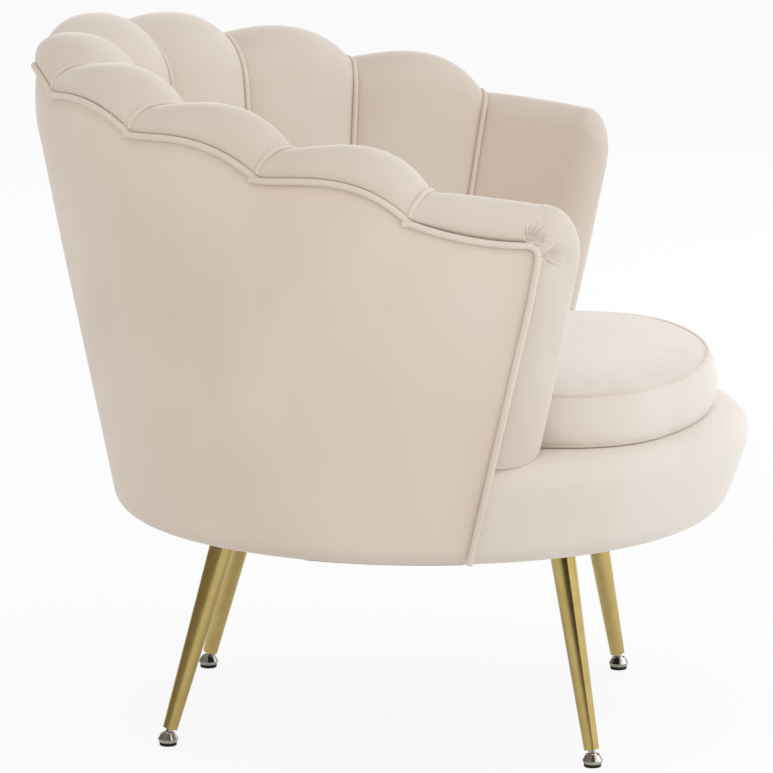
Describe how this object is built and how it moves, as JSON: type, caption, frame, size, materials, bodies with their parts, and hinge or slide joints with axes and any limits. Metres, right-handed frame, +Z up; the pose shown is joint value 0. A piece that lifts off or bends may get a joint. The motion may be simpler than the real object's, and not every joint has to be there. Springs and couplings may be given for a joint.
{
  "type": "armchair",
  "caption": "Shell-backed tub armchair in velvet: piped fan channels roll over a scalloped rim, loose box cushion, tapered splayed metal legs on levelling glides.",
  "frame": {"origin": "on the floor, under the middle of the chair's bounding box", "axes": "+Z up, +X towards the arm on the right of a person who looks along +Y at the chair's front, -Y is the way the chair faces"},
  "size_m": [0.7146, 0.7921, 0.7746],
  "materials": {
    "velvet": "beige velvet with a short nap",
    "velvet_piping": "beige velvet round a cord",
    "foam": "open-cell seat foam",
    "wadding": "polyester wadding",
    "plywood": "raw plywood",
    "webbing": "woven elastic webbing",
    "dust_cloth": "black non-woven cloth",
    "zip_tape": "woven tape with nylon teeth",
    "zip_metal": "plated",
    "plate_steel": "black zinc",
    "nut_plastic": "moulded nylon",
    "leg_brass": "polished brass-coloured plating",
    "glide_rubber": "black, moulded",
    "glide_nickel": "bright nickel"
  },
  "bodies": {
    "chair": {"base_board": "plywood", "base_cover": "velvet", "base_hoop": "plywood", "channel_left_1": "velvet", "channel_left_2": "velvet", "channel_left_3": "velvet", "channel_left_4": "velvet", "channel_left_5": "velvet", "channel_piping": "velvet_piping", "channel_right_1": "velvet", "channel_right_2": "velvet", "channel_right_3": "velvet", "channel_right_4": "velvet", "channel_right_5": "velvet", "deck_pad": "wadding", "deck_ring": "plywood", "dust_cover": "dust_cloth", "front_pad": "wadding", "leg_back_left": "leg_brass", "leg_back_right": "leg_brass", "leg_front_left": "leg_brass", "leg_front_right": "leg_brass", "leg_nut_back_left": "nut_plastic", "leg_nut_back_right": "nut_plastic", "leg_nut_front_left": "nut_plastic", "leg_nut_front_right": "nut_plastic", "leg_plate_back_left": "plate_steel", "leg_plate_back_right": "plate_steel", "leg_plate_front_left": "plate_steel", "leg_plate_front_right": "plate_steel", "outside_cover": "velvet", "plate_screws": "plate_steel", "rim_welt": "velvet_piping", "shell_board": "plywood", "webbing_crosswise": "webbing", "webbing_lengthwise": "webbing"},
    "seat_cushion": {"cushion_top": "velvet", "cushion_side": "velvet", "cushion_bottom": "velvet", "cushion_foam": "foam", "cushion_top_welt": "velvet_piping", "cushion_bottom_welt": "velvet_piping", "cushion_zip": "zip_tape", "zip_pull": "zip_metal"},
    "glide_front_right": {"glide_stem_front_right": "glide_nickel", "glide_cup_front_right": "glide_nickel", "glide_pad_front_right": "glide_rubber"},
    "glide_front_left": {"glide_stem_front_left": "glide_nickel", "glide_cup_front_left": "glide_nickel", "glide_pad_front_left": "glide_rubber"},
    "glide_back_right": {"glide_stem_back_right": "glide_nickel", "glide_cup_back_right": "glide_nickel", "glide_pad_back_right": "glide_rubber"},
    "glide_back_left": {"glide_stem_back_left": "glide_nickel", "glide_cup_back_left": "glide_nickel", "glide_pad_back_left": "glide_rubber"}
  },
  "joints": [
    {"name": "seat_cushion_lift", "type": "slide", "parent": "chair", "child": "seat_cushion", "axis": [0, 0, 1], "range_m": [0, 0.45]},
    {"name": "glide_front_right_level", "type": "slide", "parent": "chair", "child": "glide_front_right", "axis": [0.1224, -0.1616, -0.9792], "range_m": [0, 0.008]},
    {"name": "glide_front_left_level", "type": "slide", "parent": "chair", "child": "glide_front_left", "axis": [-0.1224, -0.1616, -0.9792], "range_m": [0, 0.008]},
    {"name": "glide_back_right_level", "type": "slide", "parent": "chair", "child": "glide_back_right", "axis": [0.1197, 0.2633, -0.9573], "range_m": [0, 0.008]},
    {"name": "glide_back_left_level", "type": "slide", "parent": "chair", "child": "glide_back_left", "axis": [-0.1197, 0.2633, -0.9573], "range_m": [0, 0.008]}
  ]
}
